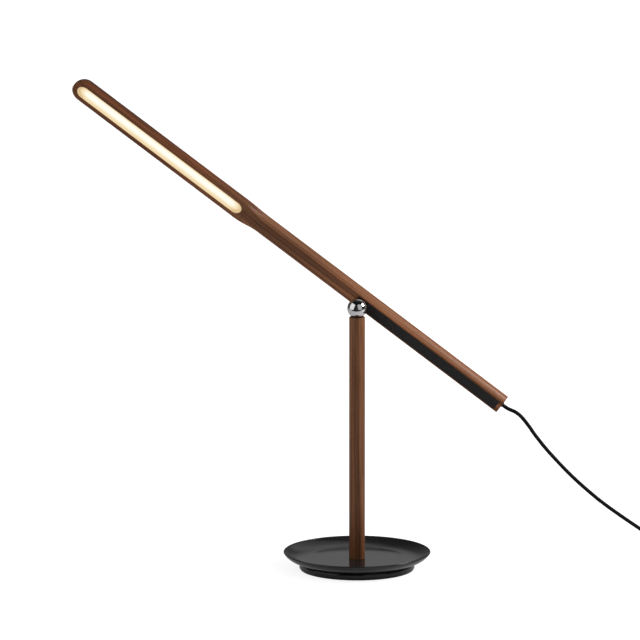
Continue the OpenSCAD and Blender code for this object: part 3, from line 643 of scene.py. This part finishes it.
# Stand
def make_dish():
    rise, width = DISH_TOP - DISH_FLOOR_Z, DISH_R - 2 * DISH_RIM - DISH_FLOOR_R
    wall_r = (width ** 2 + rise ** 2) / (2 * rise)
    sweep = math.asin(width / wall_r)
    skirt_edge, belly = (70.5, SKIRT_Z + 0.4), (84.0, SKIRT_Z + 4)
    rim_r, rim_z = DISH_R - DISH_RIM, DISH_TOP - DISH_RIM
    outline = [tuple(bend(skirt_edge, belly, (DISH_R, rim_z), t)) for t in spread_out(24)]
    for t in spread_out(12)[1:-1]:
        a = math.pi * t
        outline.append((rim_r + DISH_RIM * math.cos(a), rim_z + DISH_RIM * math.sin(a)))
    for t in spread_out(28):
        a = sweep * (1 - t)
        height = wall_r * (1 - math.cos(a)) - DISH_RIM * (1 - t)
        outline.append((DISH_FLOOR_R + wall_r * math.sin(a), DISH_FLOOR_Z + height))
    # A ring in the flat floor, so that the wall's shading ends there
    floor_ring = 30.0
    outline += [
        (floor_ring, DISH_FLOOR_Z), (BOLT_R, DISH_FLOOR_Z), (BOLT_R, DISH_UNDER_Z),
        (SKIRT_IN_R, DISH_UNDER_Z), (SKIRT_IN_R, SKIRT_Z), (SKIRT_R, SKIRT_Z),
    ]
    add_piece("dish_shell", lathe(outline, 192), COAT, "stand", "base_dish")


def make_foot():
    edge = [(0.6, 0.0), (0.2, 0.2), (0.0, 0.6)]
    outline = [(RECESS_R, FOOT_LOW)]
    outline += [(FOOT_R - inset, FOOT_LOW + rise) for inset, rise in edge]
    outline += [(FOOT_R - inset, FOOT_HIGH - drop) for inset, drop in edge[::-1]]
    outline += [
        (FOOT_NECK_R, FOOT_HIGH), (FOOT_NECK_R, SKIRT_Z), (BOLT_R, SKIRT_Z),
        (BOLT_R, RECESS_Z), (RECESS_R, RECESS_Z),
    ]
    add_piece("foot_plate", lathe(outline, 192), COAT, "stand", "base_foot")


def make_pole():
    low, top = DISH_FLOOR_Z, BALL_Z - BALL_RISE
    foot_edge = [(0.6, 0.0), (0.2, 0.15), (0.0, 0.5)]
    top_edge = [(0.0, 0.4), (0.05, 0.2), (0.18, 0.05), (0.4, 0.0)]
    # Rings in the straight part, so that the edges' shading ends there
    straight_rings = (100.0, 200.0)
    outline = [(INSERT_R, low)]
    outline += [(POLE_R - inset, low + rise) for inset, rise in foot_edge]
    outline += [(POLE_R, z) for z in straight_rings]
    outline += [(POLE_R - inset, top - drop) for inset, drop in top_edge]
    outline += [
        (BUSH_R, top), (BUSH_R, BUSH_LOW), (0.0, BUSH_LOW), (0.0, INSERT_TOP), (INSERT_R, INSERT_TOP),
    ]
    add_piece("pole_rod", lathe(outline, 128), WOOD_POLE, "stand", "pole")


def make_ball():
    bm = bmesh.new()
    bmesh.ops.create_uvsphere(bm, u_segments=96, v_segments=64, radius=BALL_R * MM)
    bmesh.ops.translate(bm, verts=bm.verts, vec=(0, 0, BALL_Z * MM))
    add_piece("ball_shell", bm, CHROME, "ball", "ball")


# Arm, in the arm's own frame
def outline_point(q, share):
    """A point of the arm's outline from its right lower edge (0) over the top to its left lower edge (1)."""
    cut_angle, side = math.asin(ARM_FLAT / ARM_R), 0.12
    turn = -cut_angle + (math.pi + 2 * cut_angle) * q
    rod = Vector((ARM_R * math.cos(turn), ARM_R * math.sin(turn)))
    rise = HEAD_FLAT - HEAD_DROP
    if side <= q <= 1 - side:
        arc = math.pi * (q - side) / (1 - 2 * side)
        head = Vector((HEAD_R * math.cos(arc), -HEAD_DROP + HEAD_R * math.sin(arc)))
    else:
        near = q if q < side else 1 - q
        head = Vector((HEAD_R if q < side else -HEAD_R, -HEAD_FLAT + rise * near / side))
    return rod.lerp(head, share)


def at_length(path, s):
    for a, b in zip(path, path[1:]):
        step = (b - a).length
        if s <= step:
            return a.lerp(b, s / step)
        s -= step
    return path[-1]


def arm_section(share, ease=0.7):
    """(y, z) points from the middle of the flat, round and back; share is 0 for the rod, 1 for the head."""
    upper = [outline_point(q, share) for q in spread_out(240)]
    total = length_of(upper)
    kept = [at_length(upper, mix(ease, total - ease, t)) for t in spread_out(64)]
    right, left = upper[0], upper[-1]
    flat = right[1]
    flat_right = right - Vector((ease, 0))
    flat_left = left + Vector((ease, 0))
    few = spread_out(4)
    ring = [Vector((flat_right[0] * t, flat)) for t in few]
    ring += [bend(flat_right, right, kept[0], t) for t in few[1:-1]]
    ring += kept
    ring += [bend(kept[-1], left, flat_left, t) for t in few[1:-1]]
    ring += [Vector((flat_left[0] * (1 - t), flat)) for t in few[:-1]]
    return [(p[0], p[1] + AXIS_Z) for p in ring]


def add_round_tip(bm, head):
    """Turns half of the head's section about its upright axis, to close the arm's front end."""
    half = head[: len(head) // 2 + 1]
    fans = []
    for t in spread_out(36):
        a = math.pi * t
        points = [(TIP_X - y * math.sin(a), y * math.cos(a), z) for y, z in half]
        fans.append([bm.verts.new(Vector(p) * MM) for p in points])
    for low, high in zip(fans, fans[1:]):
        for k in range(len(half) - 1):
            bm.faces.new((low[k], low[k + 1], high[k + 1], high[k]))
    bmesh.ops.dissolve_degenerate(bm, edges=bm.edges, dist=1e-7)


def arm_cutters():
    over = 1.0
    window = [(x + WINDOW_X, y) for x, y in slot_outline(WINDOW_LEN, WINDOW_W)]
    groove = STRIP_HALF + STRIP_GAP
    low, high = HOUSING_END - over, REAR_X + 2 * over
    gland = [(0.0, low), (GLAND_HOLE_R, low), (GLAND_HOLE_R, high), (0.0, high)]
    return [
        prism(window, FACE_Z - 2 * over, POCKET_Z),
        box((STRIP_FRONT, -groove, FACE_Z - 2 * over), (STRIP_END, groove, STRIP_TOP)),
        box((HOUSING_START, -HOUSING_HALF, STRIP_TOP - over), (HOUSING_END, HOUSING_HALF, HOUSING_TOP)),
        box((WIRE_START, -WIRE_HALF, WIRE_LOW), (WIRE_END, WIRE_HALF, WIRE_TOP)),
        post(0, 0, MAGNET_HOLE_R, STRIP_TOP - over, MAGNET_HOLE_TOP),
        post(BUTTON_X, 0, BUTTON_HOLE_R, HOUSING_TOP - over, BUTTON_HOLE_TOP),
        lathe(gland, 48, "X", (0, 0, AXIS_Z)),
    ]


def make_arm():
    head, rod = arm_section(1.0), arm_section(0.0)
    end_edge = [(0.0, 0.8), (0.12, 0.35), (0.35, 0.1), (0.8, 0.0)]
    rings = [[(TIP_X, y, z) for y, z in head]]
    for t in spread_out(28):
        x = mix(NECK_START, NECK_END, t)
        rings.append([(x, y, z) for y, z in arm_section(1 - eased(t))])
    rings.append([(0.0, y, z) for y, z in rod])
    for inset, back in end_edge:
        keep = 1 - inset / ARM_R
        rings.append([(REAR_X - back, y * keep, mix(AXIS_Z, z, keep)) for y, z in rod])
    bm = loft(rings, start=False)
    add_round_tip(bm, head)
    arm = add_piece("arm_wood", bm, WOOD_ARM, None, "arm", ARM_PLACE)
    cut(arm, arm_cutters())
    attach(arm, "arm")


def make_strip():
    w, low, high = STRIP_HALF, FACE_Z, STRIP_TOP
    section = rounded([(w, low), (w, high), (-w, high), (-w, low)], 0.4)
    end_edge = [(0.1, 0.25), (0.35, 0.0)]
    ends = [(STRIP_FRONT + back, inset) for back, inset in end_edge]
    ends += [(STRIP_END - back, inset) for back, inset in end_edge[::-1]]
    rings = []
    for x, inset in ends:
        rings.append([(x, y * (1 - inset / w), max(z, low + inset)) for y, z in section])
    strip = add_piece("strip_cover", loft(rings), STRIP, None, "rear_strip", ARM_PLACE)
    seat = bmesh.new()
    bmesh.ops.create_uvsphere(seat, u_segments=72, v_segments=48, radius=BALL_SEAT_R * MM)
    mouth_r, head_r, shank_r, head_h, under, over = 2.2, 2.0, 1.1, 1.2, 0.4, 1.0
    screw = [
        (0.0, low - under), (mouth_r, low - under), (head_r, low), (shank_r, low + head_h),
        (shank_r, high + over), (0.0, high + over),
    ]
    cut(strip, [seat] + [lathe(screw, 32, at=(x, y, 0)) for x, y in SCREW_SPOTS])
    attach(strip, "arm")


def make_diffuser():
    outer, inner = 0.1, 1.3
    edge = [(0.0, 0.25), (0.08, 0.07), (0.25, 0.0)]
    foot = [(0.0, 0.5), (0.15, 0.15), (0.5, 0.0)]
    steps = [(outer, PANEL_BACK_Z)]
    steps += [(outer + across, PANEL_RIM_Z + up) for across, up in edge]
    steps += [(inner - across, PANEL_RIM_Z + up) for across, up in edge[::-1]]
    steps += [(inner + across, PANEL_FACE_Z - down) for across, down in foot]
    rings = []
    for inset, z in steps:
        outline = slot_outline(WINDOW_LEN - 2 * inset, WINDOW_W - 2 * inset)
        rings.append([(x + WINDOW_X, y, z) for x, y in outline])
    add_piece("light_panel", loft(rings), PANEL, "arm", "led_diffuser", ARM_PLACE)


def make_gland():
    wall_gap, cord_gap = 1.0, 0.1
    inner, bore, end = HOUSING_END + wall_gap, CORD_D / 2 + cord_gap, REAR_X + COLLAR_LEN
    collar_edge = [(0.08, 0.4), (0.18, 0.1), (0.35, 0.0)]
    outline = [(bore, inner), (GLAND_R, inner), (GLAND_R, REAR_X), (COLLAR_R, REAR_X)]
    outline += [(COLLAR_R - inset, end - back) for inset, back in collar_edge]
    outline.append((bore, end))
    bm = lathe(outline, 48, "X", (0, 0, AXIS_Z))
    add_piece("cord_collar", bm, RUBBER, "arm", "cord_gland", ARM_PLACE)


def make_spring():
    """The button's spring, as tall as its CAD node at rest."""
    node = frame["nodes"]["button_spring"]
    into_arm = ARM_PLACE.inverted() @ node.matrix_world
    heights = [(into_arm @ v.co).z / MM for v in node.data.vertices]
    low, high = min(heights), max(heights)
    path = []
    for t in spread_out(SPRING_TURNS * 32):
        a = 2 * math.pi * SPRING_TURNS * t
        z = mix(low + SPRING_WIRE_R, high - SPRING_WIRE_R, t)
        path.append(Vector((BUTTON_X + SPRING_R * math.cos(a), SPRING_R * math.sin(a), z)))
    bm = loft(tube_rings(path, SPRING_WIRE_R, 10, Vector((0, 0, 1))))
    spring = add_piece("press_spring", bm, FINISH["spring"], "arm", "button_spring", ARM_PLACE)
    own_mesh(spring)


make_dish()
make_foot()
make_pole()
make_ball()
make_arm()
make_strip()
make_diffuser()
make_gland()
make_spring()


# Finishes of the CAD pieces that stay
def dress_nodes():
    slots = {row["node"]: row["material_slot"] for row in frame["record"]["subparts"]}
    for name, obj in frame["nodes"].items():
        obj.data.materials.clear()
        obj.data.materials.append(FINISH[slots[name]])


dress_nodes()


# Stage: pale floor, white backdrop, soft lights
def ray_kinds(tree):
    """Two values: 1 on rays from the camera, and 1 on rays from gloss or through glass."""
    path = add(tree, "ShaderNodeLightPath")
    mirrored = math_node(tree, "MAXIMUM", path.outputs["Is Glossy Ray"], path.outputs["Is Transmission Ray"])
    return path.outputs["Is Camera Ray"], mirrored


def make_world():
    """White to the camera; in reflections a dim room, a pale backdrop and a soft light high behind."""
    world = bpy.data.worlds.new("studio")
    scene.world = world
    world.use_nodes = True
    tree = world.node_tree
    background = tree.nodes["Background"]
    camera, mirrored = ray_kinds(tree)
    heading = add(tree, "ShaderNodeTexCoord").outputs["Generated"]

    def towards(direction):
        node = add(tree, "ShaderNodeVectorMath", operation="DOT_PRODUCT")
        node.inputs[1].default_value = Vector(direction).normalized()
        tree.links.new(heading, node.inputs[0])
        return node.outputs["Value"]

    sideways = math_node(tree, "ABSOLUTE", towards((0.9925, 0.122, 0)))
    room = faded(tree, towards((0, 1, 0)), -0.15, 0.75, 0.05, 0.34)
    height = faded(tree, towards((0, 0, 1)), 0.28, 0.75, 1.0, 0.3)
    width = faded(tree, sideways, 0.05, 0.2, 1.0, 0.4)
    high_light = faded(tree, towards((0.15, 0.74, 0.655)), 0.93, 0.985, 0.0, 0.4)
    backdrop = math_node(tree, "MULTIPLY", math_node(tree, "MULTIPLY", room, height), width)
    backdrop = math_node(tree, "ADD", backdrop, high_light)
    ambient = 0.22
    extra = math_node(tree, "MULTIPLY", mirrored, math_node(tree, "SUBTRACT", backdrop, ambient))
    strength = math_node(tree, "ADD", math_node(tree, "MULTIPLY", camera, 1 - ambient), extra)
    background.inputs["Color"].default_value = (1, 1, 1, 1)
    tree.links.new(math_node(tree, "ADD", strength, ambient), background.inputs["Strength"])


def make_floor():
    half_width, front, back, sunk = 3.0, -0.62, 6.0, 0.0002
    corners = [(-half_width, front), (half_width, front), (half_width, back), (-half_width, back)]
    bm = bmesh.new()
    bm.faces.new([bm.verts.new((x, y, 0)) for x, y in corners])
    mesh = bpy.data.meshes.new("floor")
    bm.to_mesh(mesh)
    bm.free()
    floor = bpy.data.objects.new("floor", mesh)
    floor.location.z = -sunk
    scene.collection.objects.link(floor)
    material, tree, shader = new_material("pale_floor")
    shader.inputs["Base Color"].default_value = (0.5, 0.5, 0.5, 1)
    shader.inputs["Roughness"].default_value = 0.9
    shader.inputs["Specular IOR Level"].default_value = 0.0
    shader.inputs["Emission Color"].default_value = (1, 1, 1, 1)
    camera, mirrored = ray_kinds(tree)
    away = add(tree, "ShaderNodeVectorMath", operation="LENGTH")
    tree.links.new(add(tree, "ShaderNodeTexCoord").outputs["Object"], away.inputs[0])
    near_glow = faded(tree, away.outputs["Value"], 0.35, 1.3, 0.82, 1.0)
    mirrored_glow = 0.2
    shown = math_node(tree, "MULTIPLY", camera, near_glow)
    glow = math_node(tree, "ADD", shown, math_node(tree, "MULTIPLY", mirrored, mirrored_glow))
    tree.links.new(glow, shader.inputs["Emission Strength"])
    mesh.materials.append(material)


def area_light(name, place, size, power):
    data = bpy.data.lights.new(name, "AREA")
    data.shape, data.size, data.size_y = "RECTANGLE", *size
    data.energy = power
    lamp = bpy.data.objects.new(name, data)
    lamp.location = place
    middle = Vector((0, 0, 0.3))
    lamp.rotation_euler = (middle - Vector(place)).to_track_quat("-Z", "Y").to_euler()
    scene.collection.objects.link(lamp)


make_world()
make_floor()
area_light("left_box", (-1.3, -0.75, 0.95), (1.8, 1.9), 11)
area_light("right_box", (1.0, -1.1, 0.95), (1.4, 1.9), 4.5)
area_light("key_box", (1.4, 0.2, 1.15), (0.7, 0.7), 24)
